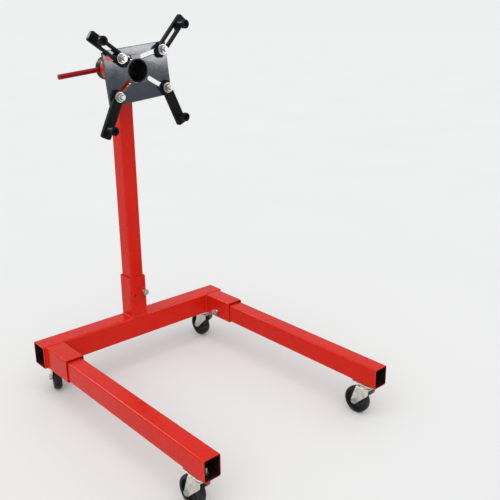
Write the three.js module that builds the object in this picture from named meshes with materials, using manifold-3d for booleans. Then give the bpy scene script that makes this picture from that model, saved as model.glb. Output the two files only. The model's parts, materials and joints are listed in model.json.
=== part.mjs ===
// Engine stand on casters: U-shaped base of two legs plugged into a cross beam, an upright post,
// and a rotating head whose slotted plate carries four adjustable arms.
// Millimetres, +Z up, floor at z = 0, origin under the middle of the footprint.
// The legs point towards -Y, so the arms face -Y and left means -X.
import * as THREE from 'three';
import { mergeVertices } from 'three/addons/utils/BufferGeometryUtils.js';
import Module from 'manifold-3d';

// ---- driving dimensions ----
const GAP = 0.3; // clearance between pieces that touch
const STAND_WIDTH = 636;
const HALF_LENGTH = 396.5;
const BASE_Z = 100; // underside of the cross beam

const BEAM_DEPTH = 58;
const BEAM_HEIGHT = 66;
const OUTER_WALL = 3;
const BEAM_FRONT_Y = 297.5;

const SOCKET_WIDTH = 54;
const SOCKET_LENGTH = 112;
const LEG_X = 283;
const LEG_WIDTH = 46;
const LEG_HEIGHT = 56;
const INNER_WALL = 2.5;
const TUBE_CORNER = 5;
const DRILL_DEPTH = 30;
const LEG_INSET = 12; // from the beam's front face to the leg's hidden end

const POST_SOCKET_HEIGHT = 126;
const POST_WIDTH = 44;
const POST_DEPTH = 50;

const HEAD_Z = 894; // height of the spindle's axis
const HEAD_ROLL = THREE.MathUtils.degToRad(-6); // the head stands slightly turned, right side up
const SLEEVE_RADIUS = 33;
const SPINDLE_RADIUS = 30;
const SPINDLE_BORE = 27;
const PLATE_FRONT_Y = BEAM_FRONT_Y - 65;
const PLATE_WIDTH = 196;
const PLATE_HEIGHT = 142;
const PLATE_THICKNESS = 8;
const PLATE_DROP = 7; // the plate's middle lies this far below the spindle's axis
const COLLAR_LENGTH = 24;
const HANDLE_RADIUS = 7;
const HANDLE_LEFT = -154;
const HANDLE_RIGHT = 40;
const LOCK_PIN_Y = BEAM_FRONT_Y - 7;
const LOCK_PIN_RADIUS = 5;
const LOCK_TRAVEL = 6;
const LOCK_KNOB = { radius: 9, height: 8, chamfer: 1 };
const LOCK_HOLES = 4;

const SLOT_WIDTH = 12.6;
const ARM_WIDTH = 28;
const ARM_THICKNESS = 12;
const ARM_LENGTH = 130;
const ARM_TUBE_LENGTH = 30;
const ARM_TUBE_RADIUS = 10;
const ARM_TUBE_BORE = 6.5;
const ARM_TUBE_INSET = 24; // from the arm's outer end to the tube's axis
const ARM_BOLT_RADIUS = 6;
const ARM_SLOT = { fromInner: 17, fromOuter: 45 }; // ends of the arm's own slot
const TUBE_COLLAR = { radius: 12, length: 9, chamfer: 1 };

const WHEEL_RADIUS = 37.5;
const WHEEL_WIDTH = 24;
const CASTER_TRAIL = 27;
const AXLE_RADIUS = 4;

const CLAMP_BOLT_RADIUS = 5;
const ROUND_SEGMENTS = 36;

// Slots in the plate: inner and outer ends for the right side, measured from the spindle's axis.
const UPPER_SLOT = { inner: [20, 35], outer: [84, 45] };
const LOWER_SLOT = { inner: [33, -25], outer: [84, -61] };

// Arms: where the bolt stands on the plate, which way the arm points, and how far
// the bolt is from the arm's inner end. The upper arms have a slot, the lower ones a hole.
const ARMS = {
  upper_left: { side: -1, slot: UPPER_SLOT, along: 0.5, angle: 139, boltAt: 26, slotted: true },
  upper_right: { side: 1, slot: UPPER_SLOT, along: 0.9, angle: 42, boltAt: 20, slotted: true },
  lower_right: { side: 1, slot: LOWER_SLOT, along: 0.89, angle: -71, boltAt: 17, slotted: false },
  lower_left: { side: -1, slot: LOWER_SLOT, along: 0.82, angle: -121, boltAt: 16, slotted: false },
};

// Casters: kingpin position, underside of the tube above, and how far the fork is swivelled
// from trailing straight backwards.
const REAR_CASTER_X = 272;
const FRONT_CASTER_Y = BEAM_FRONT_Y - 648;
const LEG_BASE_Z = BASE_Z + OUTER_WALL + GAP;
const CASTERS = {
  front_left: { x: -LEG_X, y: FRONT_CASTER_Y, top: LEG_BASE_Z, wall: INNER_WALL, swivel: 0 },
  front_right: { x: LEG_X, y: FRONT_CASTER_Y, top: LEG_BASE_Z, wall: INNER_WALL, swivel: 0 },
  rear_left: {
    x: -REAR_CASTER_X, y: BEAM_FRONT_Y + BEAM_DEPTH / 2, top: BASE_Z, wall: OUTER_WALL, swivel: -20,
  },
  rear_right: {
    x: REAR_CASTER_X, y: BEAM_FRONT_Y + BEAM_DEPTH / 2, top: BASE_Z, wall: OUTER_WALL, swivel: 0,
  },
};

// ---- solids ----
const wasm = await Module();
wasm.setup();

function toSolid(geometry) {
  const bare = geometry.clone();
  bare.deleteAttribute('normal');
  bare.deleteAttribute('uv');
  const merged = mergeVertices(bare, 1e-4);
  const index = merged.index.array;
  const triangles = [];
  for (let i = 0; i < index.length; i += 3) {
    const [a, b, c] = [index[i], index[i + 1], index[i + 2]];
    if (a !== b && b !== c && c !== a) triangles.push(a, b, c);
  }
  return new wasm.Manifold(new wasm.Mesh({
    numProp: 3,
    vertProperties: new Float32Array(merged.attributes.position.array),
    triVerts: new Uint32Array(triangles),
  }));
}

function toGeometry(solid) {
  const mesh = solid.getMesh();
  const geometry = new THREE.BufferGeometry();
  geometry.setAttribute('position', new THREE.BufferAttribute(new Float32Array(mesh.vertProperties), 3));
  geometry.setIndex(new THREE.BufferAttribute(new Uint32Array(mesh.triVerts), 1));
  return geometry;
}

const join = (...shapes) => toGeometry(shapes.map(toSolid).reduce((a, b) => a.add(b)));
const cut = (base, ...tools) => toGeometry(tools.map(toSolid).reduce((a, b) => a.subtract(b), toSolid(base)));

// ---- shapes ----
function roundedRect(width, height, radius) {
  const [w, h] = [width / 2, height / 2];
  const shape = new THREE.Shape();
  shape.moveTo(-w + radius, -h);
  shape.lineTo(w - radius, -h);
  shape.absarc(w - radius, -h + radius, radius, -Math.PI / 2, 0);
  shape.lineTo(w, h - radius);
  shape.absarc(w - radius, h - radius, radius, 0, Math.PI / 2);
  shape.lineTo(-w + radius, h);
  shape.absarc(-w + radius, h - radius, radius, Math.PI / 2, Math.PI);
  shape.lineTo(-w, -h + radius);
  shape.absarc(-w + radius, -h + radius, radius, Math.PI, Math.PI * 1.5);
  return shape;
}

function slotPath([x1, y1], [x2, y2], width) {
  const angle = Math.atan2(y2 - y1, x2 - x1);
  const path = new THREE.Path();
  path.absarc(x1, y1, width / 2, angle + Math.PI / 2, angle + Math.PI * 1.5);
  path.absarc(x2, y2, width / 2, angle - Math.PI / 2, angle + Math.PI / 2);
  path.closePath();
  return path;
}

function circlePath(x, y, radius) {
  const path = new THREE.Path();
  path.absarc(x, y, radius, 0, Math.PI * 2);
  return path;
}

const extrude = (shape, depth, curveSegments = 2) => (
  new THREE.ExtrudeGeometry(shape, { depth, curveSegments, bevelEnabled: false })
);

// A shape drawn in X and Z, extruded towards -Y from backY.
const extrudeForward = (shape, backY, depth, curveSegments) => (
  extrude(shape, depth, curveSegments).rotateX(Math.PI / 2).translate(0, backY, 0)
);

// The rectangular tube's cross section, with its hollow.
function tubeSection(width, height, wall) {
  const shape = roundedRect(width, height, TUBE_CORNER);
  shape.holes.push(roundedRect(width - 2 * wall, height - 2 * wall, TUBE_CORNER - wall + 0.5));
  return shape;
}

function boxTube(width, height, length, wall) {
  return extrude(tubeSection(width, height, wall), length);
}

// A round bar along +Z from z1 to z2.
const bar = (radius, z1, z2, segments = 16) => (
  new THREE.CylinderGeometry(radius, radius, z2 - z1, segments)
    .rotateX(Math.PI / 2)
    .translate(0, 0, (z1 + z2) / 2)
);

const hexBar = (acrossFlats, z1, z2) => bar(acrossFlats / Math.sqrt(3), z1, z2, 6);

// A revolved profile of [radius, z] pairs about Z.
const turned = (profile, segments = 20) => (
  new THREE.LatheGeometry(profile.map(([r, z]) => new THREE.Vector2(r, z)), segments)
    .rotateX(Math.PI / 2)
);

const ring = (outer, inner, z1, z2, segments) => (
  turned([[inner, z1], [outer, z1], [outer, z2], [inner, z2], [inner, z1]], segments)
);

const along = {
  x: (geometry) => geometry.rotateY(Math.PI / 2),
  y: (geometry) => geometry.rotateX(-Math.PI / 2),
};

// ---- base ----
function crossBeam() {
  const tube = boxTube(BEAM_HEIGHT, BEAM_DEPTH, STAND_WIDTH, OUTER_WALL);
  const beam = along.x(tube).translate(
    -STAND_WIDTH / 2, BEAM_FRONT_Y + BEAM_DEPTH / 2, BASE_Z + BEAM_HEIGHT / 2,
  );
  return cut(beam, ...boltHoles('rear_left'), ...boltHoles('rear_right'));
}

const CLAMP_Y = BEAM_FRONT_Y - 62;
const CLAMP_Z = BASE_Z + 27;
const WELD_NUT = { flats: 17, height: 8 };

function legSocket(side) {
  const section = tubeSection(SOCKET_WIDTH, BEAM_HEIGHT, OUTER_WALL);
  const tube = extrudeForward(section, BEAM_FRONT_Y - GAP, SOCKET_LENGTH - GAP)
    .translate(side * LEG_X, 0, BASE_Z + BEAM_HEIGHT / 2);
  const hole = placeOnSocket(bar(CLAMP_BOLT_RADIUS + GAP, 0, DRILL_DEPTH), side, TUBE_CORNER);
  return cut(tube, hole);
}

function leg(side) {
  const section = tubeSection(LEG_WIDTH, LEG_HEIGHT, INNER_WALL);
  const backY = BEAM_FRONT_Y - LEG_INSET;
  const tube = extrudeForward(section, backY, backY + HALF_LENGTH)
    .translate(side * LEG_X, 0, LEG_BASE_Z + LEG_HEIGHT / 2);
  return cut(tube, ...boltHoles(side > 0 ? 'front_right' : 'front_left'));
}

// A clamp bolt along +Z with its tip at 0 and its head at the far end.
const CLAMP_BOLT_LENGTH = 26;
const CLAMP_HEAD = { flats: 16, height: 7 };
const clampBolt = () => join(
  bar(CLAMP_BOLT_RADIUS, 0, CLAMP_BOLT_LENGTH),
  hexBar(CLAMP_HEAD.flats, CLAMP_BOLT_LENGTH - CLAMP_HEAD.height, CLAMP_BOLT_LENGTH),
);
const weldNut = () => cut(
  hexBar(WELD_NUT.flats, 0, WELD_NUT.height),
  bar(CLAMP_BOLT_RADIUS + GAP, -1, WELD_NUT.height + 1),
);

// The clamp bolts go through the sockets' inner side walls.
function placeOnSocket(geometry, side, fromLeg) {
  const inward = -side;
  const turnedPiece = geometry.rotateY(inward * Math.PI / 2);
  return turnedPiece.translate(side * LEG_X + inward * fromLeg, CLAMP_Y, CLAMP_Z);
}
const legClampBolt = (side) => placeOnSocket(clampBolt(), side, LEG_WIDTH / 2 + GAP);
const legClampNut = (side) => placeOnSocket(weldNut(), side, SOCKET_WIDTH / 2 + GAP);

// ---- post ----
const POST_Y = BEAM_FRONT_Y + BEAM_DEPTH / 2;
const POST_SOCKET_Z = BASE_Z + BEAM_HEIGHT + GAP;
const POST_BOLT = { x: 13, z: 246 };
const SPARE_HOLE = { x: -13, z: 236, radius: 4.5 };

const acrossPostSocket = (geometry, x, z) => (
  geometry.rotateX(Math.PI / 2).translate(x, POST_Y - POST_DEPTH / 2 - GAP, z)
);

function postSocket() {
  const tube = boxTube(SOCKET_WIDTH, BEAM_DEPTH, POST_SOCKET_HEIGHT, OUTER_WALL)
    .translate(0, POST_Y, POST_SOCKET_Z);
  const boltHole = acrossPostSocket(bar(CLAMP_BOLT_RADIUS + GAP, -2, DRILL_DEPTH), POST_BOLT.x, POST_BOLT.z);
  const spareHole = acrossPostSocket(bar(SPARE_HOLE.radius, -2, DRILL_DEPTH), SPARE_HOLE.x, SPARE_HOLE.z);
  return cut(tube, boltHole, spareHole);
}

// The post's top is coped to the sleeve that lies across it.
function post() {
  const bottom = POST_SOCKET_Z + GAP;
  const tube = boxTube(POST_WIDTH, POST_DEPTH, HEAD_Z - bottom, INNER_WALL)
    .translate(0, POST_Y, bottom);
  const cope = along.y(bar(SLEEVE_RADIUS + GAP, -100, 100, ROUND_SEGMENTS)).translate(0, POST_Y, HEAD_Z);
  return cut(tube, cope);
}

const postBolt = () => acrossPostSocket(clampBolt(), POST_BOLT.x, POST_BOLT.z);
const postNut = () => acrossPostSocket(
  weldNut().translate(0, 0, (BEAM_DEPTH - POST_DEPTH) / 2), POST_BOLT.x, POST_BOLT.z,
);

// ---- head ----
const SLEEVE_FRONT_Y = PLATE_FRONT_Y + PLATE_THICKNESS + 0.5;
const COLLAR_REAR_Y = HALF_LENGTH - 1;
const COLLAR_FRONT_Y = COLLAR_REAR_Y - COLLAR_LENGTH;
const HANDLE_Y = COLLAR_REAR_Y - COLLAR_LENGTH / 2;

// Pieces of the head are drawn about the spindle's axis, then rolled and lifted into place.
const onHead = (geometry) => geometry.rotateY(HEAD_ROLL).translate(0, 0, HEAD_Z);

const acrossHead = (radius, from, to) => along.x(bar(radius, from, to)).translate(0, HANDLE_Y, 0);

function headSleeve() {
  const tube = along.y(ring(
    SLEEVE_RADIUS, SPINDLE_RADIUS + GAP, SLEEVE_FRONT_Y, COLLAR_FRONT_Y - 0.5, ROUND_SEGMENTS,
  ));
  const pinHole = bar(LOCK_PIN_RADIUS + GAP, SPINDLE_BORE, SLEEVE_RADIUS + 10).translate(0, LOCK_PIN_Y, 0);
  return cut(tube, pinHole).translate(0, 0, HEAD_Z);
}

function spindle() {
  const tube = along.y(ring(SPINDLE_RADIUS, SPINDLE_BORE, PLATE_FRONT_Y, HALF_LENGTH, ROUND_SEGMENTS));
  const placed = onHead(cut(tube, acrossHead(HANDLE_RADIUS + GAP, -40, 40)));
  const lockHoles = [];
  for (let i = 0; i < LOCK_HOLES; i += 1) {
    const hole = bar(LOCK_PIN_RADIUS + 2 * GAP, SPINDLE_BORE - 10, SLEEVE_RADIUS).translate(0, LOCK_PIN_Y, 0);
    lockHoles.push(hole.rotateY((i * 2 * Math.PI) / LOCK_HOLES).translate(0, 0, HEAD_Z));
  }
  return cut(placed, ...lockHoles);
}

function spindleCollar() {
  const tube = along.y(ring(
    SLEEVE_RADIUS, SPINDLE_RADIUS + GAP, COLLAR_FRONT_Y, COLLAR_REAR_Y, ROUND_SEGMENTS,
  ));
  return onHead(cut(tube, acrossHead(HANDLE_RADIUS + GAP, -40, 40)));
}

const mirrored = ([x, z], side) => [side * x, z];

function mountingPlate() {
  const shape = new THREE.Shape(
    roundedRect(PLATE_WIDTH, PLATE_HEIGHT, 6).getPoints(3).map((p) => p.clone().setY(p.y - PLATE_DROP)),
  );
  for (const side of [-1, 1]) {
    for (const slot of [UPPER_SLOT, LOWER_SLOT]) {
      const ends = [mirrored(slot.inner, side), mirrored(slot.outer, side)];
      shape.holes.push(slotPath(...ends, SLOT_WIDTH));
    }
  }
  const plate = extrudeForward(shape, PLATE_FRONT_Y + PLATE_THICKNESS, PLATE_THICKNESS, 6);
  const centreHole = along.y(bar(SPINDLE_RADIUS + GAP, 0, 600, ROUND_SEGMENTS));
  return onHead(cut(plate, centreHole));
}

function handleBar() {
  const chamfer = 1.5;
  const profile = [
    [0, HANDLE_LEFT], [HANDLE_RADIUS - chamfer, HANDLE_LEFT], [HANDLE_RADIUS, HANDLE_LEFT + chamfer],
    [HANDLE_RADIUS, HANDLE_RIGHT - chamfer], [HANDLE_RADIUS - chamfer, HANDLE_RIGHT], [0, HANDLE_RIGHT],
  ];
  return onHead(along.x(turned(profile)).translate(0, HANDLE_Y, 0));
}

// The pin stands clear of the spindle, ready to be pushed into one of its holes.
function lockPin() {
  const { radius, height, chamfer } = LOCK_KNOB;
  const tip = SPINDLE_RADIUS + 2 * GAP;
  const knob = SLEEVE_RADIUS + LOCK_TRAVEL + 0.5;
  const profile = [
    [0, tip], [LOCK_PIN_RADIUS - 1, tip], [LOCK_PIN_RADIUS, tip + 1], [LOCK_PIN_RADIUS, knob],
    [radius, knob], [radius, knob + height - chamfer], [radius - chamfer, knob + height],
    [0, knob + height],
  ];
  return turned(profile).translate(0, LOCK_PIN_Y, HEAD_Z);
}

// ---- arms ----
const ARM_BACK_Y = PLATE_FRONT_Y - GAP;
const ARM_FRONT_Y = ARM_BACK_Y - ARM_THICKNESS;

function boltPoint({ side, slot, along: share }) {
  const [x1, z1] = mirrored(slot.inner, side);
  const [x2, z2] = mirrored(slot.outer, side);
  return [x1 + (x2 - x1) * share, z1 + (z2 - z1) * share];
}

// Turns a piece drawn with its bolt at the axis and its arm along +X into the arm's place.
function onPlate(geometry, armSpec) {
  const [x, z] = boltPoint(armSpec);
  const swing = THREE.MathUtils.degToRad(armSpec.angle);
  return onHead(geometry.rotateY(-swing).translate(x, 0, z));
}

function arm(armSpec) {
  const inner = -armSpec.boltAt;
  const outer = inner + ARM_LENGTH;
  const shape = new THREE.Shape(
    roundedRect(ARM_LENGTH, ARM_WIDTH, 6).getPoints(3).map((p) => p.clone().setX(p.x + (inner + outer) / 2)),
  );
  const slot = slotPath([inner + ARM_SLOT.fromInner, 0], [outer - ARM_SLOT.fromOuter, 0], SLOT_WIDTH);
  const boltHole = circlePath(0, 0, SLOT_WIDTH / 2);
  shape.holes.push(armSpec.slotted ? slot : boltHole);
  shape.holes.push(circlePath(outer - ARM_TUBE_INSET, 0, ARM_TUBE_BORE));
  return onPlate(extrudeForward(shape, ARM_BACK_Y, ARM_THICKNESS, 6), armSpec);
}

function armTube(armSpec) {
  const start = ARM_FRONT_Y - GAP;
  const end = start - ARM_TUBE_LENGTH;
  const { radius, length, chamfer } = TUBE_COLLAR;
  const profile = [
    [ARM_TUBE_BORE, end], [radius - chamfer, end], [radius, end + chamfer], [radius, end + length],
    [ARM_TUBE_RADIUS, end + length + chamfer], [ARM_TUBE_RADIUS, start], [ARM_TUBE_BORE, start],
    [ARM_TUBE_BORE, end],
  ];
  const x = ARM_LENGTH - armSpec.boltAt - ARM_TUBE_INSET;
  return onPlate(along.y(turned(profile)).translate(x, 0, 0), armSpec);
}

const NUT_STACK = { washerRadius: 14, washer: 3, flats: 19, nut: 10, thread: 7 };
const ARM_BOLT_HEAD = 7.5;

// The bolt's head is behind the plate and its thread shows in front of the nut.
function armBolt(armSpec) {
  const headFront = PLATE_FRONT_Y + PLATE_THICKNESS + GAP;
  const tip = ARM_FRONT_Y - GAP - NUT_STACK.washer - NUT_STACK.nut - NUT_STACK.thread;
  const bolt = join(
    bar(ARM_BOLT_RADIUS, tip, headFront + 4),
    hexBar(NUT_STACK.flats, headFront, headFront + ARM_BOLT_HEAD),
  );
  return onPlate(along.y(bolt), armSpec);
}

function armNut(armSpec) {
  const back = ARM_FRONT_Y - GAP;
  const middle = back - NUT_STACK.washer;
  const nut = cut(
    join(
      bar(NUT_STACK.washerRadius, middle, back),
      hexBar(NUT_STACK.flats, middle - NUT_STACK.nut, middle + 1),
    ),
    bar(ARM_BOLT_RADIUS + GAP, middle - 20, back + 5),
  );
  return onPlate(along.y(nut), armSpec);
}

// ---- casters ----
const CASTER_PLATE = { width: 50, length: 62, thickness: 3 };
const CASTER_BOLT = { spacing: 24, radius: 3 };
const CASTER_HEX = { flats: 10, head: 4, nut: 5, thread: 16 };
const FORK = { top: 86, wall: 2.5, halfWidth: 16.5, front: -19, rear: 21, apron: 12, eye: 9 };
const KINGPIN_RADIUS = 6;
const KINGPIN_HEAD = 4;
const RACE_RADIUS = 17;

// Front plates lie along the leg, rear plates along the beam.
const plateTurn = (name) => (name.startsWith('rear') ? Math.PI / 2 : 0);
const atCaster = (geometry, name) => geometry.translate(CASTERS[name].x, CASTERS[name].y, 0);

function boltHoles(name) {
  const { top } = CASTERS[name];
  return [-1, 1].map((end) => atCaster(
    bar(CASTER_BOLT.radius + GAP, top - 20, top + 20, 10)
      .translate(0, end * CASTER_BOLT.spacing, 0)
      .rotateZ(plateTurn(name)),
    name,
  ));
}

function casterPlate(name) {
  const top = CASTERS[name].top - GAP;
  const { width, length, thickness } = CASTER_PLATE;
  const plate = extrude(roundedRect(width, length, 6), thickness)
    .translate(0, 0, top - thickness)
    .rotateZ(plateTurn(name));
  const race = bar(RACE_RADIUS, FORK.top + GAP, top - 1);
  const crown = FORK.top - FORK.wall;
  const kingpin = bar(KINGPIN_RADIUS, crown - KINGPIN_HEAD, top - 1);
  const rivet = bar(KINGPIN_RADIUS + 3, crown - KINGPIN_HEAD, crown - GAP);
  return cut(atCaster(join(plate, race, kingpin, rivet), name), ...boltHoles(name));
}

function casterBolt(name, end) {
  const { top, wall } = CASTERS[name];
  const headTop = top - GAP - CASTER_PLATE.thickness - GAP;
  const nutBase = top + wall + GAP;
  const { flats, head, nut, thread } = CASTER_HEX;
  const bolt = join(
    bar(CASTER_BOLT.radius, headTop - 2, nutBase + thread, 10),
    hexBar(flats, headTop - head, headTop),
    hexBar(flats, nutBase, nutBase + nut),
  );
  return atCaster(
    bolt.translate(0, end * CASTER_BOLT.spacing, 0).rotateZ(plateTurn(name)), name,
  );
}

// Pieces below the race are drawn trailing towards +Y, then swivelled about the kingpin.
const swivelled = (geometry, name) => (
  atCaster(geometry.rotateZ(THREE.MathUtils.degToRad(CASTERS[name].swivel)), name)
);

function forkSide() {
  const {
    top, front, rear, apron, eye,
  } = FORK;
  const shape = new THREE.Shape();
  shape.moveTo(front, top);
  shape.lineTo(rear, top);
  shape.lineTo(CASTER_TRAIL + eye, WHEEL_RADIUS + 4);
  shape.absarc(CASTER_TRAIL, WHEEL_RADIUS, eye, 0.3, -Math.PI + 0.5, true);
  shape.lineTo(front, top - apron - 4);
  return shape;
}

function fork(name) {
  const {
    top, wall, halfWidth, front, rear, apron,
  } = FORK;
  const cheeks = [-halfWidth, halfWidth - wall].map((x) => (
    extrude(forkSide(), wall, 6).rotateX(Math.PI / 2).rotateZ(Math.PI / 2).translate(x, 0, 0)
  ));
  const crown = new THREE.BoxGeometry(2 * halfWidth, rear - front, wall)
    .translate(0, (front + rear) / 2, top - wall / 2);
  const lip = new THREE.BoxGeometry(2 * halfWidth, wall, apron)
    .translate(0, front + wall / 2, top - apron / 2);
  const kingpinHole = bar(KINGPIN_RADIUS + GAP, top - 10, top + 5);
  const axleHole = along.x(bar(AXLE_RADIUS + GAP, -30, 30)).translate(0, CASTER_TRAIL, WHEEL_RADIUS);
  return swivelled(cut(join(...cheeks, crown, lip), kingpinHole, axleHole), name);
}

const WEB_HOLES = { count: 6, radius: 4.2, orbit: 19 };
const HUB_RADIUS = 11;
const WEB = { inner: 12, outer: 26, halfThickness: 4 };
const TREAD = { inner: 27.5, shoulder: 34.5, round: 5 };
const AXLE_HEX = { flats: 13, height: 4 };

function wheel(name) {
  const half = WHEEL_WIDTH / 2;
  const bore = AXLE_RADIUS + GAP;
  const rim = half - 1;
  const oneSide = [
    [bore, half], [HUB_RADIUS, half], [WEB.inner, WEB.halfThickness], [WEB.outer, WEB.halfThickness],
    [TREAD.inner, rim], [TREAD.shoulder, rim], [WHEEL_RADIUS, half - TREAD.round],
  ];
  const otherSide = oneSide.map(([r, z]) => [r, -z]);
  const profile = [...otherSide, ...oneSide.reverse(), otherSide[0]];
  const holes = [];
  for (let i = 0; i < WEB_HOLES.count; i += 1) {
    const hole = bar(WEB_HOLES.radius, -8, 8, 8).translate(WEB_HOLES.orbit, 0, 0);
    holes.push(hole.rotateZ((i * 2 * Math.PI) / WEB_HOLES.count));
  }
  const disc = cut(turned(profile, 28), ...holes);
  return swivelled(along.x(disc).translate(0, CASTER_TRAIL, WHEEL_RADIUS), name);
}

function axle(name) {
  const reach = FORK.halfWidth + GAP;
  const pin = join(
    bar(AXLE_RADIUS, -reach - 2, reach + 2),
    hexBar(AXLE_HEX.flats, reach, reach + AXLE_HEX.height),
    hexBar(AXLE_HEX.flats, -reach - AXLE_HEX.height, -reach),
  );
  return swivelled(along.x(pin).translate(0, CASTER_TRAIL, WHEEL_RADIUS), name);
}

// ---- materials ----
const material = (color, roughness, metalness) => (
  new THREE.MeshStandardMaterial({ color, roughness, metalness })
);
const redPaint = material(0xc8201a, 0.35, 0.1);
const blackPaint = material(0x14161a, 0.3, 0.2);
const zinc = material(0xc9c6ba, 0.35, 0.9);
const wheelPolymer = material(0x101112, 0.5, 0);

// ---- assembly ----
const group = new THREE.Group();

function add(name, geometry, finish) {
  const mesh = new THREE.Mesh(geometry, finish.clone());
  mesh.name = name;
  group.add(mesh);
}

add('cross_beam', crossBeam(), redPaint);
for (const [name, side] of [['left', -1], ['right', 1]]) {
  add(`${name}_leg_socket`, legSocket(side), redPaint);
  add(`${name}_leg`, leg(side), redPaint);
  add(`${name}_clamp_bolt`, legClampBolt(side), zinc);
  add(`${name}_clamp_nut`, legClampNut(side), zinc);
}
add('post_socket', postSocket(), redPaint);
add('post', post(), redPaint);
add('post_bolt', postBolt(), zinc);
add('post_nut', postNut(), zinc);
add('head_sleeve', headSleeve(), redPaint);
add('spindle', spindle(), blackPaint);
add('spindle_collar', spindleCollar(), blackPaint);
add('mounting_plate', mountingPlate(), blackPaint);
add('handle_bar', handleBar(), redPaint);
add('lock_pin', lockPin(), zinc);
for (const [name, armSpec] of Object.entries(ARMS)) {
  add(`${name}_arm`, arm(armSpec), blackPaint);
  add(`${name}_arm_tube`, armTube(armSpec), blackPaint);
  add(`${name}_arm_bolt`, armBolt(armSpec), zinc);
  add(`${name}_arm_nut`, armNut(armSpec), zinc);
}
for (const name of Object.keys(CASTERS)) {
  add(`${name}_caster_plate`, casterPlate(name), zinc);
  add(`${name}_caster_bolt_a`, casterBolt(name, -1), zinc);
  add(`${name}_caster_bolt_b`, casterBolt(name, 1), zinc);
  add(`${name}_fork`, fork(name), zinc);
  add(`${name}_wheel`, wheel(name), wheelPolymer);
  add(`${name}_axle`, axle(name), zinc);
}

export default group;
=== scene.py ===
import json
import math

import bmesh
import bpy
from mathutils import Matrix, Vector


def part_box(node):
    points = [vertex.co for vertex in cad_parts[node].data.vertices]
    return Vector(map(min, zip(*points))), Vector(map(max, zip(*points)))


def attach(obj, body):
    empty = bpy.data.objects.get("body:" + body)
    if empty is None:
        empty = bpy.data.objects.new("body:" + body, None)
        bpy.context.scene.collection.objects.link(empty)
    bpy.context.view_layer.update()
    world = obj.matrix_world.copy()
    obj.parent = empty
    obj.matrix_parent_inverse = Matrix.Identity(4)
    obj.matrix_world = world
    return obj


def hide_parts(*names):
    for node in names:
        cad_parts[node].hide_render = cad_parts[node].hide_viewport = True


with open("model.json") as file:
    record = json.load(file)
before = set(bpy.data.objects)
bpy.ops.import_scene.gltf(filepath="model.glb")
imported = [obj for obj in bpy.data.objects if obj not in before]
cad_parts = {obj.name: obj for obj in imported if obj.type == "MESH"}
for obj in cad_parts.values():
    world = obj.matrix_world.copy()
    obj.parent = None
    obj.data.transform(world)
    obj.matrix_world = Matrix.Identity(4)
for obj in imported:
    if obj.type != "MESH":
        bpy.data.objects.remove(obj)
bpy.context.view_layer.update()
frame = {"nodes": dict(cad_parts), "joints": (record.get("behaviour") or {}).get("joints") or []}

X, Y, Z = Vector((1, 0, 0)), Vector((0, 1, 0)), Vector((0, 0, 1))
SIDES = ("left", "right")
ARMS = ("upper_left", "upper_right", "lower_right", "lower_left")
CASTERS = ("front_left", "front_right", "rear_left", "rear_right")
JOINTS = {joint["name"]: joint for joint in frame["joints"]}

OUTER_WALL = 0.003
INNER_WALL = 0.0025
TUBE_CORNER = 0.005
LIP = 0.0007  # rounding of a sawn tube end
SHARP = math.radians(32)
SLOT_WIDTH = 0.0126
SLOT_LENGTHS = {"upper": 0.0648, "lower": 0.0624}
ARM_SLOT_INNER = 0.017
ARM_SLOT_OUTER = 0.045
BORE = 0.0065
CLEARANCE = 0.0003
BEAD_PITCH = 0.0028
PLATE_CORNER = 0.006
PLATE_EDGE = 0.0009
ARM_EDGE = 0.0013
ARM_HEX = 0.019
ARM_THREAD = 0.006
CLAMP_HEX = 0.016
CLAMP_HEAD = 0.007
CLAMP_THREAD = 0.005
CLAMP_NUT_HEX = 0.017
CLAMP_NUT_BORE = 0.0053
INTO_HEAD = 0.0005  # how far a thread runs into its screw head
LOCK_PIN_RADIUS = 0.005
CASTER_SHEET = 0.003
PRESSED_EDGE = 0.0007
CASTER_HEX = 0.010


# ---- reading the frame ----
def centre(node):
    low, high = (Vector(corner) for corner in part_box(node))
    return (low + high) / 2


def size(node):
    low, high = (Vector(corner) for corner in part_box(node))
    return high - low


def span(node, direction):
    """Lowest and highest reach of a CAD node along a direction."""
    reach = [direction.dot(vertex.co) for vertex in frame["nodes"][node].data.vertices]
    return min(reach), max(reach)


def joint_axis(name):
    return Vector(JOINTS[name]["axis"]).normalized()


def joint_place(name):
    return Vector(JOINTS[name]["pos_m"])


def facing(origin, z_axis, x_axis):
    """A matrix whose Z and X run along the given directions."""
    z_axis = z_axis.normalized()
    y_axis = z_axis.cross(x_axis).normalized()
    matrix = Matrix((y_axis.cross(z_axis), y_axis, z_axis)).transposed().to_4x4()
    matrix.translation = origin
    return matrix


# ---- mesh building ----
def angles(count):
    """Equal steps round a full turn."""
    return [2 * math.pi * i / count for i in range(count)]


def skin(bm, rings, closed=False, material=0):
    """Joins rings of equally many points; closed also joins the last ring to the first."""
    verts = [[bm.verts.new(point) for point in ring] for ring in rings]
    follow = verts[1:] + verts[:1] if closed else verts[1:]
    for ring, after in zip(verts, follow):
        for i, vertex in enumerate(ring):
            j = (i + 1) % len(ring)
            face = bm.faces.new((vertex, ring[j], after[j], after[i]))
            face.material_index = material
    return verts


def cap(bm, ring):
    bm.faces.new(ring)


def turn(profile, matrix, segments=48, ripple=None):
    """Rings of (radius, height) points about the matrix's Z. ripple(angle, height) adds to a radius."""
    rings = []
    for radius, height in profile:
        ring = []
        for angle in angles(segments):
            grown = radius + (ripple(angle, height) if ripple else 0)
            ring.append(matrix @ Vector((grown * math.cos(angle), grown * math.sin(angle), height)))
        rings.append(ring)
    return rings


def turned(bm, profile, matrix, segments=48, ripple=None):
    """A closed ring when the profile returns to its start, otherwise capped at both ends."""
    closed = profile[0] == profile[-1]
    rings = turn(profile[:-1] if closed else profile, matrix, segments, ripple)
    verts = skin(bm, rings, closed)
    if not closed:
        cap(bm, verts[0])
        cap(bm, verts[-1])


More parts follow.
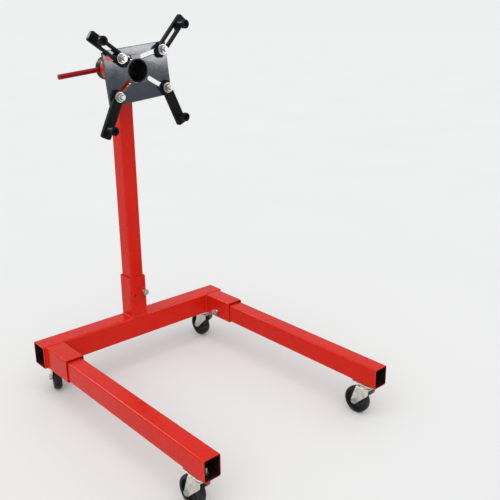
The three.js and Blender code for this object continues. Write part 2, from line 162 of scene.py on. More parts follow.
def rounded_rect(width, height, radius, steps=6, straight=6):
    """Points round a rectangle with arcs at its corners and extra points on its straight sides."""
    corners = []
    for sign_x, sign_y, start in ((1, 1, 0), (-1, 1, 90), (-1, -1, 180), (1, -1, 270)):
        middle = Vector((sign_x * (width / 2 - radius), sign_y * (height / 2 - radius)))
        for i in range(steps + 1):
            angle = math.radians(start + 90 * i / steps)
            corners.append(middle + radius * Vector((math.cos(angle), math.sin(angle))))
    points = []
    for i, point in enumerate(corners):
        points.append(point)
        after = corners[(i + 1) % len(corners)]
        if (i + 1) % (steps + 1) == 0:
            points.extend(point.lerp(after, k / straight) for k in range(1, straight))
    return points


def hex_radius(angle, flats):
    turned_by = (angle + math.pi / 6) % (math.pi / 3) - math.pi / 6
    return flats / 2 / math.cos(turned_by)


def hexagon(bm, flats, low, high, matrix, bore=0.0, chamfer_low=True, chamfer_high=True):
    """A hexagonal head or nut whose corners are chamfered to a cone, as turned ones are."""
    segments, least_drop, bore_edge = 60, 0.0001, 0.0004
    edge = flats / 2 * 1.01
    slope = math.tan(math.radians(30))
    rings = [[], [], [], []]
    for angle in angles(segments):
        outline = hex_radius(angle, flats)
        drop = max(0.0, outline - edge) * slope + least_drop
        inner = min(outline, edge)
        heights = (low, low + (drop if chamfer_low else 0), high - (drop if chamfer_high else 0), high)
        radii = (inner if chamfer_low else outline, outline, outline, inner if chamfer_high else outline)
        for ring, radius, height in zip(rings, radii, heights):
            ring.append(matrix @ Vector((radius * math.cos(angle), radius * math.sin(angle), height)))
    if bore:
        rings += turn([(bore + bore_edge, high), (bore, high - bore_edge), (bore, low + bore_edge),
                       (bore + bore_edge, low)], matrix, segments)
        skin(bm, rings, closed=True)
        return
    verts = skin(bm, rings)
    cap(bm, verts[0])
    cap(bm, verts[-1])


def thread(bm, radius, low, high, matrix, pitch=0.0015, depth=0.0006):
    """A screw thread: a stack of rings whose radius follows a helix, tapering off at both ends."""
    segments, per_turn = 32, 6
    count = max(4, round((high - low) / pitch * per_turn))
    rings = []
    for k in range(count + 1):
        height = low + (high - low) * k / count
        fade = min(1.0, (height - low) / pitch, (high - height) / pitch)
        ring = []
        for angle in angles(segments):
            phase = (height / pitch - angle / (2 * math.pi)) % 1
            root = abs(2 * phase - 1)
            end = depth * (1 - fade)
            grown = radius - max(depth * root * fade, end)
            ring.append(matrix @ Vector((grown * math.cos(angle), grown * math.sin(angle), height)))
        rings.append(ring)
    verts = skin(bm, rings)
    cap(bm, verts[0])
    cap(bm, verts[-1])


def make(name, bm, material, body, nodes=(), inside=None):
    """Turns a bmesh into a finished piece that rides on a body."""
    bmesh.ops.remove_doubles(bm, verts=bm.verts, dist=1e-7)
    bmesh.ops.recalc_face_normals(bm, faces=bm.faces)
    for face in bm.faces:
        face.smooth = True
    for edge in bm.edges:
        edge.smooth = edge.is_manifold and edge.calc_face_angle(0) < SHARP
    mesh = bpy.data.meshes.new(name)
    bm.to_mesh(mesh)
    bm.free()
    piece = bpy.data.objects.new(name, mesh)
    bpy.context.scene.collection.objects.link(piece)
    mesh.materials.append(material)
    if inside:
        mesh.materials.append(inside)
    piece.modifiers.new("even_normals", "WEIGHTED_NORMAL").keep_sharp = True
    if nodes:
        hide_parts(*nodes)
    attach(piece, body)
    return piece


def drill(bm, holes):
    """Cuts round holes, each (matrix, radius, depth each way), out of a bmesh."""
    whole = bpy.data.meshes.new("whole")
    bmesh.ops.recalc_face_normals(bm, faces=bm.faces)
    bm.to_mesh(whole)
    bm.free()
    piece = bpy.data.objects.new("whole", whole)
    bpy.context.scene.collection.objects.link(piece)
    cutters = []
    for matrix, radius, depth in holes:
        cutter_bm = bmesh.new()
        turned(cutter_bm, [(radius, -depth), (radius, depth)], matrix, 40)
        bmesh.ops.recalc_face_normals(cutter_bm, faces=cutter_bm.faces)
        mesh = bpy.data.meshes.new("cutter")
        cutter_bm.to_mesh(mesh)
        cutter_bm.free()
        cutter = bpy.data.objects.new("cutter", mesh)
        bpy.context.scene.collection.objects.link(cutter)
        cutters.append(cutter)
        boolean = piece.modifiers.new("hole", "BOOLEAN")
        boolean.operation = "DIFFERENCE"
        boolean.solver = "EXACT"
        boolean.object = cutter
    bpy.context.view_layer.update()
    result = piece.evaluated_get(bpy.context.evaluated_depsgraph_get()).to_mesh()
    drilled = bmesh.new()
    drilled.from_mesh(result)
    for scrap in [piece, *cutters]:
        mesh = scrap.data
        bpy.data.objects.remove(scrap)
        bpy.data.meshes.remove(mesh)
    return drilled


def flat_plate(outline, holes, thickness, edge, matrix):
    """A plate in the matrix's XY plane with rounded edges. It starts at height 0 and goes to thickness."""
    curve = bpy.data.curves.new("outline", "CURVE")
    curve.dimensions = "2D"
    curve.fill_mode = "BOTH"
    curve.extrude = thickness / 2 - edge
    curve.bevel_depth = edge
    curve.bevel_resolution = 2
    curve.offset = -edge
    for points in [outline, *holes]:
        spline = curve.splines.new("POLY")
        spline.points.add(len(points) - 1)
        for target, point in zip(spline.points, points):
            target.co = (point[0], point[1], 0, 1)
        spline.use_cyclic_u = True
    holder = bpy.data.objects.new("outline", curve)
    bpy.context.scene.collection.objects.link(holder)
    bpy.context.view_layer.update()
    mesh = bpy.data.meshes.new_from_object(holder.evaluated_get(bpy.context.evaluated_depsgraph_get()))
    bpy.data.objects.remove(holder)
    bpy.data.curves.remove(curve)
    bm = bmesh.new()
    bm.from_mesh(mesh)
    bpy.data.meshes.remove(mesh)
    bmesh.ops.remove_doubles(bm, verts=bm.verts, dist=1e-6)
    bm.transform(matrix @ Matrix.Translation((0, 0, thickness / 2)))
    return bm


def circle(x, y, radius, count=40):
    return [Vector((x + radius * math.cos(angle), y + radius * math.sin(angle))) for angle in angles(count)]


def slot_outline(start, end, width, steps=14):
    """A slot with round ends between two points."""
    way = (end - start).normalized()
    across = Vector((-way.y, way.x))
    points = []
    for middle, sign in ((end, 1), (start, -1)):
        for i in range(steps + 1):
            angle = math.pi * (i / steps - 0.5)
            swing = sign * (way * math.cos(angle) + across * math.sin(angle))
            points.append(middle + swing * width / 2)
    return points


def bead(bm, path, radius):
    """A weld: overlapping ripples round a closed path of points, half sunk in the joint."""
    lengths = [0.0]
    around = path + path[:1]
    for a, b in zip(around, around[1:]):
        lengths.append(lengths[-1] + (b - a).length)
    total = lengths[-1]
    count = max(12, round(total / (BEAD_PITCH / 4)))
    rings = []
    for k in range(count):
        along = total * k / count
        i = max(j for j in range(len(lengths) - 1) if lengths[j] <= along + 1e-9)
        a, b = around[i], around[i + 1]
        share = (along - lengths[i]) / max(lengths[i + 1] - lengths[i], 1e-9)
        point = a.lerp(b, share)
        way = (b - a).normalized()
        side = way.orthogonal().normalized() if abs(way.dot(Z)) > 0.9 else way.cross(Z).normalized()
        up = side.cross(way)
        ripple = 1 + 0.13 * abs(math.sin(math.pi * along / BEAD_PITCH)) + 0.05 * math.sin(along * 410)
        ring = []
        for angle in angles(10):
            ring.append(point + radius * ripple * (side * math.cos(angle) + up * math.sin(angle)))
        rings.append(ring)
    skin(bm, rings, closed=True)


# ---- materials ----
class Shader:
    """A Principled material with short helpers for the nodes behind it."""

    def __init__(self, name, roughness=0.4, metallic=0.0, specular=0.5):
        self.material = bpy.data.materials.new(name)
        self.material.use_nodes = True
        self.tree = self.material.node_tree
        self.shader = self.tree.nodes["Principled BSDF"]
        self.shader.inputs["Roughness"].default_value = roughness
        self.shader.inputs["Metallic"].default_value = metallic
        self.shader.inputs["Specular IOR Level"].default_value = specular
        self.place = self.tree.nodes.new("ShaderNodeTexCoord").outputs["Object"]

    def node(self, kind, **inputs):
        made = self.tree.nodes.new(kind)
        for key, value in inputs.items():
            socket = made.inputs[key.replace("_", " ")]
            if isinstance(value, bpy.types.NodeSocket):
                self.tree.links.new(value, socket)
            else:
                socket.default_value = value
        return made

    def noise(self, scale, detail=3.0, stretch=(1, 1, 1)):
        placed = self.node("ShaderNodeMapping", Vector=self.place, Scale=stretch)
        made = self.node("ShaderNodeTexNoise", Vector=placed.outputs[0], Scale=scale, Detail=detail)
        return made.outputs[0]

    def ramp(self, factor, low, high, low_at=0.3, high_at=0.7):
        made = self.node("ShaderNodeValToRGB", Fac=factor)
        first, last = made.color_ramp.elements
        first.position, first.color = low_at, (*low, 1)
        last.position, last.color = high_at, (*high, 1)
        return made.outputs[0]

    def blend(self, factor, base, other):
        made = self.tree.nodes.new("ShaderNodeMix")
        made.data_type = "RGBA"
        for key, value in ((0, factor), (6, base), (7, other)):
            if isinstance(value, bpy.types.NodeSocket):
                self.tree.links.new(value, made.inputs[key])
            else:
                made.inputs[key].default_value = (*value, 1)
        return made.outputs[2]

    def spread(self, value, low, high):
        made = self.node("ShaderNodeMapRange", Value=value)
        made.inputs["From Min"].default_value = 0.3
        made.inputs["From Max"].default_value = 0.7
        made.inputs["To Min"].default_value = low
        made.inputs["To Max"].default_value = high
        return made.outputs[0]

    def edges(self, radius, low_at, high_at):
        """Near 1 on edges that stick out or in, near 0 on flats."""
        rounded = self.node("ShaderNodeBevel", Radius=radius).outputs[0]
        flat = self.tree.nodes.new("ShaderNodeNewGeometry").outputs["Normal"]
        product = self.tree.nodes.new("ShaderNodeVectorMath")
        product.operation = "DOT_PRODUCT"
        self.tree.links.new(rounded, product.inputs[0])
        self.tree.links.new(flat, product.inputs[1])
        turned_away = self.node("ShaderNodeMath")
        turned_away.operation = "SUBTRACT"
        turned_away.inputs[0].default_value = 1.0
        self.tree.links.new(product.outputs["Value"], turned_away.inputs[1])
        return self.ramp(turned_away.outputs[0], (0, 0, 0), (1, 1, 1), low_at, high_at)

    def finish(self, colour, roughness, *bumps):
        """bumps are (height, strength, distance)."""
        self.tree.links.new(colour, self.shader.inputs["Base Color"])
        self.tree.links.new(roughness, self.shader.inputs["Roughness"])
        normal = None
        for height, strength, distance in bumps:
            made = self.node("ShaderNodeBump", Height=height, Strength=strength, Distance=distance)
            if normal:
                self.tree.links.new(normal, made.inputs["Normal"])
            normal = made.outputs[0]
        if normal:
            self.tree.links.new(normal, self.shader.inputs["Normal"])
        return self.material


def paint(name, deep, bright, edge, roughness, specular):
    """Gloss powder coat: orange peel, faint pooling of colour, and a painted highlight on edges, where the
    colour also turns lighter for thinner paint.
    """
    s = Shader(name, specular=specular)
    body = s.ramp(s.noise(9, 4), deep, bright)
    specks = s.ramp(s.noise(420, 2), (0, 0, 0), (1, 1, 1), 0.64, 0.74)
    flecked = s.blend(specks, body, tuple(channel * 0.78 for channel in deep))
    # Painted highlight: edges that stick out or in are blended towards the lighter edge colour, which also
    # stands for thinner paint there.
    colour = s.blend(s.edges(0.0016, 0.02, 0.3), flecked, edge)
    rough = s.spread(s.noise(34, 5), *roughness)
    return s.finish(colour, rough, (s.noise(760, 2), 0.04, 0.0006), (s.noise(26, 2), 0.02, 0.004))


def plated(name, dull, bright, tint, roughness=(0.24, 0.42)):
    """Zinc plate: cloudy brightness, a faint warm tint and fine drawing lines."""
    s = Shader(name, metallic=0.86)
    cloud = s.ramp(s.noise(70, 5), dull, bright)
    colour = s.blend(s.ramp(s.noise(24, 3), (0, 0, 0), (0.6, 0.6, 0.6), 0.45, 0.75), cloud, tint)
    rough = s.spread(s.noise(150, 5), *roughness)
    return s.finish(colour, rough, (s.noise(260, 3, (1, 1, 9)), 0.08, 0.0005))


def moulded(name):
    """Wheel polymer: black, a little dusty, with a scuffed surface."""
    s = Shader(name, specular=0.2)
    dust = s.ramp(s.noise(55, 6), (0.005, 0.005, 0.006), (0.020, 0.020, 0.019), 0.4, 0.72)
    rough = s.spread(s.noise(90, 4), 0.34, 0.58)
    return s.finish(dust, rough, (s.noise(500, 3), 0.12, 0.0006))


def inside_scale_and_painted_shade(name):
    """The inside of a tube: mill scale with drifts of overspray, kept near black as painted shade for the
    dark inside of the tube.
    """
    s = Shader(name, specular=0.1)
    # Painted shade: the mill scale colours are near black to stand for the shade inside a tube.
    scale = s.ramp(s.noise(60, 5), (0.004, 0.003, 0.003), (0.014, 0.008, 0.007))
    drifts = s.ramp(s.noise(22, 4), (0, 0, 0), (0.6, 0.6, 0.6), 0.5, 0.7)
    colour = s.blend(drifts, scale, (0.03, 0.005, 0.004))
    return s.finish(colour, s.spread(s.noise(80, 4), 0.55, 0.85), (s.noise(300, 3), 0.2, 0.0008))


# The third colour of each paint is its painted edge highlight, also standing for thinner paint on edges.
RED = paint("red_powder_coat", (0.50, 0.010, 0.003), (0.55, 0.013, 0.004), (0.70, 0.06, 0.03),
            (0.2, 0.3), 0.12)
CRIMSON = paint("handle_paint", (0.19, 0.003, 0.007), (0.23, 0.005, 0.009), (0.36, 0.03, 0.03),
                (0.2, 0.3), 0.15)
PLATE_BLACK = paint("plate_gloss_black", (0.009, 0.018, 0.028), (0.013, 0.024, 0.036), (0.11, 0.12, 0.14),
                    (0.10, 0.16), 0.5)
BLACK = paint("black_gloss_paint", (0.003, 0.003, 0.004), (0.006, 0.006, 0.008), (0.03, 0.033, 0.04),
              (0.3, 0.42), 0.05)
ZINC = plated("zinc_plate", (0.22, 0.22, 0.22), (0.50, 0.50, 0.49), (0.46, 0.42, 0.34))
CASTER_ZINC = plated("caster_zinc", (0.44, 0.42, 0.38), (0.76, 0.74, 0.69), (0.68, 0.60, 0.46), (0.3, 0.46))
WHEEL = moulded("wheel_polymer")
# Tube insides: near black, painted shade.
INSIDE_PAINTED_SHADE = inside_scale_and_painted_shade("tube_inside_painted_shade")


# ---- tubes ----
def at(axis, along, u, v):
    """The point at a distance along one axis, with u and v on the other two in order."""
    others = {0: (along, u, v), 1: (u, along, v), 2: (u, v, along)}
    return Vector(others[axis])


def square_tube(node, axis, wall, body, top=None, holes=()):
    """A rectangular tube with rounded corners, where its CAD node is. top(u) shapes a coped end."""
    low, high = (Vector(corner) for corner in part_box(node))
    u_axis, v_axis = [i for i in range(3) if i != axis]
    width, height = high[u_axis] - low[u_axis], high[v_axis] - low[v_axis]
    u_mid, v_mid = (high[u_axis] + low[u_axis]) / 2, (high[v_axis] + low[v_axis]) / 2
    start, end = low[axis], high[axis]

    def ring(inset, along, from_end):
        section = rounded_rect(width - 2 * inset, height - 2 * inset, max(TUBE_CORNER - inset, 0.0012))
        points = []
        for point in section:
            place = along
            if from_end and top:
                place = top(point.x) - (end - along)
            points.append(at(axis, place, u_mid + point.x, v_mid + point.y))
        return points

    outside = [ring(LIP, start, False), ring(LIP * 0.3, start + LIP * 0.3, False),
               ring(0, start + LIP, False), ring(0, end - LIP, True),
               ring(LIP * 0.3, end - LIP * 0.3, True), ring(LIP, end, True)]
    hollow = [ring(wall - LIP * 0.5, end, True), ring(wall, end - LIP * 0.6, True),
              ring(wall, start + LIP * 0.6, False), ring(wall - LIP * 0.5, start, False)]
    bm = bmesh.new()
    skin(bm, outside + hollow, closed=True)
    bm.faces.ensure_lookup_table()
    in_section = len(outside[0])
    first_inner = len(outside) * in_section
    # The inner faces take the second material, which is near black with painted shade.
    for face in bm.faces[first_inner:first_inner + 3 * in_section]:
        face.material_index = 1
    if holes:
        bm = drill(bm, holes)
    make(f"{node}_tube", bm, RED, body, [node], INSIDE_PAINTED_SHADE)


def pipe(node, outer, inner, body, material, holes):
    """A round tube along Y, where its CAD node is, with broken edges."""
    low, high = span(node, Y)
    edge = 0.0006
    profile = [(outer - edge, low), (outer, low + edge), (outer, high - edge), (outer - edge, high),
               (inner + edge, high), (inner, high - edge), (inner, low + edge), (inner + edge, low),
               (outer - edge, low)]
    middle = HEAD_CENTRE.copy()
    middle.y = 0
    bm = bmesh.new()
    turned(bm, profile, facing(middle, Y, X), 72)
    bm = drill(bm, holes)
    make(f"{node}_pipe", bm, material, body, [node])


HEAD_CENTRE = joint_place("head_spin")
HEAD_X = -joint_axis("handle_slide")
HEAD_Z = HEAD_X.cross(Y)
SLEEVE_RADIUS = size("head_sleeve").x / 2
SPINDLE_RADIUS = size("spindle").x / 2
SPINDLE_BORE = 0.027
HANDLE_RADIUS = size("handle_bar").y / 2


def cope(u):
    """Where the post's wall meets the round sleeve, u off the post's middle."""
    return HEAD_CENTRE.z - math.sqrt((SLEEVE_RADIUS + CLEARANCE) ** 2 - u * u)


def base():
    square_tube("cross_beam", 0, OUTER_WALL, "base")
    for side in SIDES:
        square_tube(f"{side}_leg_socket", 1, OUTER_WALL, "base")
        square_tube(f"{side}_leg", 1, INNER_WALL, f"{side}_leg")
    bolt = centre("post_bolt")
    spare = Vector((-bolt.x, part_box("post_socket")[0][1], bolt.z - 0.010))
    spare_radius, through_wall = 0.0045, 0.006
    square_tube("post_socket", 2, OUTER_WALL, "base",
                holes=[(facing(spare, Y, X), spare_radius, through_wall)])
    square_tube("post", 2, INNER_WALL, "base", top=cope)


def rectangle_path(width, height, place):
    return [place(point.x, point.y) for point in rounded_rect(width, height, TUBE_CORNER, 4, 3)]


def weld(name, body, path, radius=0.0022, material=RED):
    bm = bmesh.new()
    bead(bm, path, radius)
    make(name, bm, material, body)


def welds():
    inset, proud = 0.001, 0.0002
    beam_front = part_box("cross_beam")[0][1]
    beam_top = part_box("cross_beam")[1][2]
    for side in SIDES:
        node = f"{side}_leg_socket"
        middle, extent = centre(node), size(node)
        weld(f"{side}_socket_weld", "base", rectangle_path(
            extent.x - inset, extent.z - inset,
            lambda u, v: Vector((middle.x + u, beam_front - proud, middle.z + v))))
    middle, extent = centre("post_socket"), size("post_socket")
    weld("post_socket_weld", "base", rectangle_path(
        extent.x - inset, extent.y - inset,
        lambda u, v: Vector((middle.x + u, middle.y + v, beam_top + proud))))
    middle, extent = centre("post"), size("post")
    weld("sleeve_weld", "base", rectangle_path(
        extent.x, extent.y,
        lambda u, v: Vector((middle.x + u, middle.y + v, cope(u) + proud))))


# ---- fasteners ----
def clamp_screw(name, node, axis, body):
    """A hex screw along axis: its head at the far end, a threaded shank below it."""
    low, high = span(node, axis)
    middle = centre(node)
    matrix = facing(middle - axis * axis.dot(middle), axis, Z if abs(axis.z) < 0.5 else X)
    bm = bmesh.new()
    hexagon(bm, CLAMP_HEX, high - CLAMP_HEAD, high, matrix, chamfer_low=False)
    thread(bm, CLAMP_THREAD, low, high - CLAMP_HEAD + INTO_HEAD, matrix)
    make(f"{name}_screw", bm, ZINC, body, [node])


def welded_nut(name, node, axis):
    low, high = span(node, axis)
    middle = centre(node)
    matrix = facing(middle - axis * axis.dot(middle), axis, Z)
    bm = bmesh.new()
    hexagon(bm, CLAMP_NUT_HEX, low, high, matrix, bore=CLAMP_NUT_BORE, chamfer_low=False)
    make(f"{name}_hex", bm, RED, "base", [node])
    around = CLAMP_NUT_HEX * 0.56
    ring = [matrix @ Vector((around * math.cos(a), around * math.sin(a), low + 0.0004)) for a in angles(36)]
    weld(f"{name}_weld", "base", ring, radius=0.0013)


def fasteners():
    for side, inward in (("left", X), ("right", -X)):
        clamp_screw(f"{side}_clamp", f"{side}_clamp_bolt", inward, f"{side}_clamp_bolt")
        welded_nut(f"{side}_clamp_nut", f"{side}_clamp_nut", inward)
    clamp_screw("post_clamp", "post_bolt", -Y, "base")
    welded_nut("post_clamp_nut", "post_nut", -Y)


# ---- head ----
def head():
    slots = []
    origin = HEAD_CENTRE.copy()
    origin.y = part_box("mounting_plate")[1][1]
    plate_frame = facing(origin, -Y, HEAD_X)
    flat = plate_frame.inverted()
    for arm in ARMS:
        way = joint_axis(f"{arm}_bolt_slide")
        travel = JOINTS[f"{arm}_bolt_slide"]["range_m"][1]
        outer = joint_place(f"{arm}_arm_swing") + way * (travel + CLEARANCE)
        inner = outer - way * SLOT_LENGTHS[arm.split("_")[0]]
        slots.append(slot_outline(*((flat @ end).to_2d() for end in (inner, outer)), SLOT_WIDTH))
    left, right = (reach - HEAD_X.dot(HEAD_CENTRE) for reach in span("mounting_plate", HEAD_X))
    down, up = (reach - HEAD_Z.dot(HEAD_CENTRE) for reach in span("mounting_plate", HEAD_Z))
    shift = Vector(((left + right) / 2, (down + up) / 2))
    outline = [point + shift for point in rounded_rect(right - left, up - down, PLATE_CORNER, 6, 2)]
    thickness = size("mounting_plate").y
    holes = slots + [circle(0, 0, SPINDLE_RADIUS + CLEARANCE, 64)]
    bm = flat_plate(outline, holes, thickness, PLATE_EDGE, plate_frame)
    make("head_plate", bm, PLATE_BLACK, "head", ["mounting_plate"])


def head_tubes():
    """The sleeve on the post, and the spindle and collar that turn with the head."""
    pin = centre("lock_pin")
    pin_line = facing(Vector((pin.x, pin.y, HEAD_CENTRE.z)), Z, X)
    cross = facing(Vector((HEAD_CENTRE.x, centre("spindle_collar").y, HEAD_CENTRE.z)), HEAD_X, Y)
    side_line = facing(pin_line.translation, X, Y)
    bar_hole = (cross, HANDLE_RADIUS + CLEARANCE, 0.05)
    pin_hole = (pin_line @ Matrix.Translation((0, 0, 0.035)), LOCK_PIN_RADIUS + CLEARANCE, 0.012)
    lock_holes = [(line, LOCK_PIN_RADIUS + 2 * CLEARANCE, 0.04) for line in (pin_line, side_line)]
    around_spindle = SPINDLE_RADIUS + CLEARANCE
    pipe("head_sleeve", SLEEVE_RADIUS, around_spindle, "base", RED, [pin_hole])
    pipe("spindle", SPINDLE_RADIUS, SPINDLE_BORE, "head", BLACK, [bar_hole, *lock_holes])
    pipe("spindle_collar", SLEEVE_RADIUS, around_spindle, "head", BLACK, [bar_hole])
    front = HEAD_CENTRE.copy()
    front.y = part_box("mounting_plate")[0][1] + 0.0015  # sunk, so that an arm can slide over it
    ring = [front + (SPINDLE_RADIUS + 0.0004) * (HEAD_X * math.cos(a) + HEAD_Z * math.sin(a))
            for a in angles(64)]
    weld("spindle_weld", "head", ring, radius=0.0013, material=BLACK)


def handle():
    low, high = span("handle_bar", HEAD_X)
    middle = centre("handle_bar")
    matrix = facing(middle - HEAD_X * HEAD_X.dot(middle), HEAD_X, Y)
    edge, radius = 0.0018, HANDLE_RADIUS
    profile = [(radius - edge, low), (radius - edge * 0.3, low + edge * 0.3), (radius, low + edge),
               (radius, high - edge), (radius - edge * 0.3, high - edge * 0.3), (radius - edge, high)]
    bm = bmesh.new()
    turned(bm, profile, matrix, 48)
    make("turning_bar", bm, CRIMSON, "handle_bar", ["handle_bar"])


def lock_pin():
    low, high = span("lock_pin", Z)
    middle = centre("lock_pin")
    shank, knob, height = LOCK_PIN_RADIUS, size("lock_pin").x / 2, 0.008
    under = high - height
    profile = [(shank - 0.001, low), (shank, low + 0.001), (shank, under), (knob - 0.0006, under),
               (knob - 0.0002, under + 0.0006), (knob - 0.0002, high - 0.0014),
               (knob - 0.0014, high - 0.0002), (knob - 0.003, high)]

    def knurl(angle, height_here):
        gripped = under + 0.0005 < height_here < high - 0.001
        return -0.0005 * (0.5 + 0.5 * math.cos(24 * angle)) if gripped else 0

    bm = bmesh.new()
    turned(bm, profile, facing(Vector((middle.x, middle.y, 0)), Z, X), 96, knurl)
    make("lock_pin_knob", bm, ZINC, "lock_pin", ["lock_pin"])


# ---- arms ----
def slotted(name):
    """The upper arms slide along a slot. The lower ones only swing about their bolt."""
    return f"{name}_arm_reach" in JOINTS


def arm(name):
    pivot = joint_place(f"{name}_arm_swing")
    way = centre(f"{name}_arm_tube") - pivot
    way.y = 0
    way.normalize()
    node = f"{name}_arm"
    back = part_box(node)[1][1]
    matrix = facing(Vector((pivot.x, back, pivot.z)), -Y, way)
    inner, outer = (reach - way.dot(pivot) for reach in span(node, way))
    across = matrix.to_3x3() @ Y
    side_low, side_high = span(node, across)
    thickness = size(node).y
    outline = [point + Vector(((inner + outer) / 2, 0))
               for point in rounded_rect(outer - inner, side_high - side_low, PLATE_CORNER, 6, 2)]
    tube_at = way.dot(centre(f"{name}_arm_tube") - pivot)
    slot_ends = (Vector((inner + ARM_SLOT_INNER, 0)), Vector((outer - ARM_SLOT_OUTER, 0)))
    bolt_opening = slot_outline(*slot_ends, SLOT_WIDTH) if slotted(name) else circle(0, 0, SLOT_WIDTH / 2)
    holes = [bolt_opening, circle(tube_at, 0, BORE)]
    bm = flat_plate(outline, holes, thickness, ARM_EDGE, matrix)
    make(f"{name}_arm_bar", bm, BLACK, f"{name}_arm", [node])


def arm_tube(name):
    tube = f"{name}_arm_tube"
    low, high = span(tube, -Y)
    collar, radius, edge = size(tube).x / 2, 0.010, 0.001
    profile = [(BORE, low), (radius, low), (radius, high - 0.010), (collar, high - 0.009),
               (collar, high - edge), (collar - edge * 0.3, high - edge * 0.3), (collar - edge, high),
               (BORE + 0.0005, high), (BORE, high - 0.0005), (BORE, low)]
    middle = centre(tube)
    matrix = facing(Vector((middle.x, 0, middle.z)), -Y, X)
    bm = bmesh.new()
    turned(bm, profile, matrix, 56)
    make(f"{name}_arm_sleeve", bm, BLACK, f"{name}_arm", [tube])
    ring = [matrix @ Vector((radius * math.cos(a), radius * math.sin(a), low + 0.0012)) for a in angles(40)]
    weld(f"{name}_sleeve_weld", f"{name}_arm", ring, radius=0.0015, material=BLACK)


def arm_fastener(name):
    pivot = joint_place(f"{name}_arm_swing")
    matrix = facing(Vector((pivot.x, 0, pivot.z)), -Y, X)
    low, high = span(f"{name}_arm_bolt", -Y)
    head_height = 0.0075
    bm = bmesh.new()
    hexagon(bm, ARM_HEX, low, low + head_height, matrix, chamfer_high=False)
    thread(bm, ARM_THREAD, low + head_height - INTO_HEAD, high, matrix, pitch=0.00175)
    make(f"{name}_arm_screw", bm, ZINC, f"{name}_bolt", [f"{name}_arm_bolt"])

    low, high = span(f"{name}_arm_nut", -Y)
    washer, washer_radius, bore = 0.003, size(f"{name}_arm_nut").x / 2, 0.0063
    bm = bmesh.new()
    edge = 0.0005
    profile = [(bore, low), (washer_radius - edge, low), (washer_radius, low + edge),
               (washer_radius, low + washer - edge), (washer_radius - edge, low + washer),
               (bore, low + washer), (bore, low)]
    turned(bm, profile, matrix, 56)
    hexagon(bm, ARM_HEX, low + washer, high, matrix, bore=bore, chamfer_low=False)
    rides = f"{name}_pivot" if slotted(name) else f"{name}_arm"
    make(f"{name}_washer_nut", bm, ZINC, rides, [f"{name}_arm_nut"])


# ---- casters ----
def caster_plate(name, body):
    node = f"{name}_caster_plate"
    kingpin = joint_place(f"{name}_swivel")
    extent = size(node)
    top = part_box(node)[1][2]
    bolts = [centre(f"{name}_caster_bolt_{end}") - kingpin for end in "ab"]
    holes = [circle(bolt.x, bolt.y, 0.0033, 24) for bolt in bolts]
    flat = Matrix.Translation((kingpin.x, kingpin.y, top - CASTER_SHEET))
    outline = rounded_rect(extent.x, extent.y, PLATE_CORNER, 6, 2)
    bm = flat_plate(outline, holes, CASTER_SHEET, PRESSED_EDGE, flat)
    fork_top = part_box(f"{name}_fork")[1][2]
    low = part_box(node)[0][2]
    upper = Matrix.Translation((kingpin.x, kingpin.y, 0))
    plate_under = top - CASTER_SHEET
    gap = (plate_under - fork_top) / 2 + fork_top
    race = [(0.006, fork_top + 0.0003), (0.0155, fork_top + 0.0003), (0.0168, fork_top + 0.0015),
            (0.0168, gap - 0.0012), (0.0150, gap - 0.0004), (0.0150, gap + 0.0004),
            (0.0170, gap + 0.0012), (0.0170, plate_under - 0.001), (0.0162, plate_under + 0.0005)]
    turned(bm, race, upper, 48)
    rivet = [(0.004, low), (0.0075, low + 0.0006), (0.009, low + 0.002), (0.009, low + 0.0037),
             (0.006, low + 0.0037), (0.006, fork_top + 0.001)]
    turned(bm, rivet, upper, 40)
    make(f"{name}_top_plate", bm, CASTER_ZINC, body, [node])


def caster_bolts(name, body):
    head, nut_low, nut_high = 0.004, 0.016, 0.011
    for end in "ab":
        node = f"{name}_caster_bolt_{end}"
        middle = centre(node)
        matrix = Matrix.Translation((middle.x, middle.y, 0))
        low, high = span(node, Z)
        bm = bmesh.new()
        hexagon(bm, CASTER_HEX, low, low + head, matrix, chamfer_high=False)
        hexagon(bm, CASTER_HEX, high - nut_low, high - nut_high, matrix, chamfer_low=False)
        thread(bm, 0.003, low + head - INTO_HEAD, high, matrix, pitch=0.001, depth=0.0004)
        make(f"{name}_plate_screw_{end}", bm, ZINC, body, [node])


def fork_edges(height, top, axle, trail):
    """How far a fork's cheek reaches, before and behind the kingpin, at a height."""
    eye, front, rear, lip = 0.009, -0.019, 0.021, 0.016
    eye_front, eye_rear = 0.0079, 0.00806  # where the cheek's straight edges meet the round eye
    round_half = math.sqrt(max(0.0, eye * eye - (height - axle) ** 2))
    tangent = axle - 0.0043
    shoulder = axle + 0.004
    if height >= top - lip:
        front_at = front
    elif height >= tangent:
        share = (top - lip - height) / (top - lip - tangent)
        front_at = front + share * (trail - eye_front - front)
    else:
        front_at = trail - round_half
    if height >= shoulder:
        share = (top - height) / (top - shoulder)
        rear_at = rear + share * (trail + eye_rear - rear)
    else:
        rear_at = trail + round_half
    return front_at, rear_at


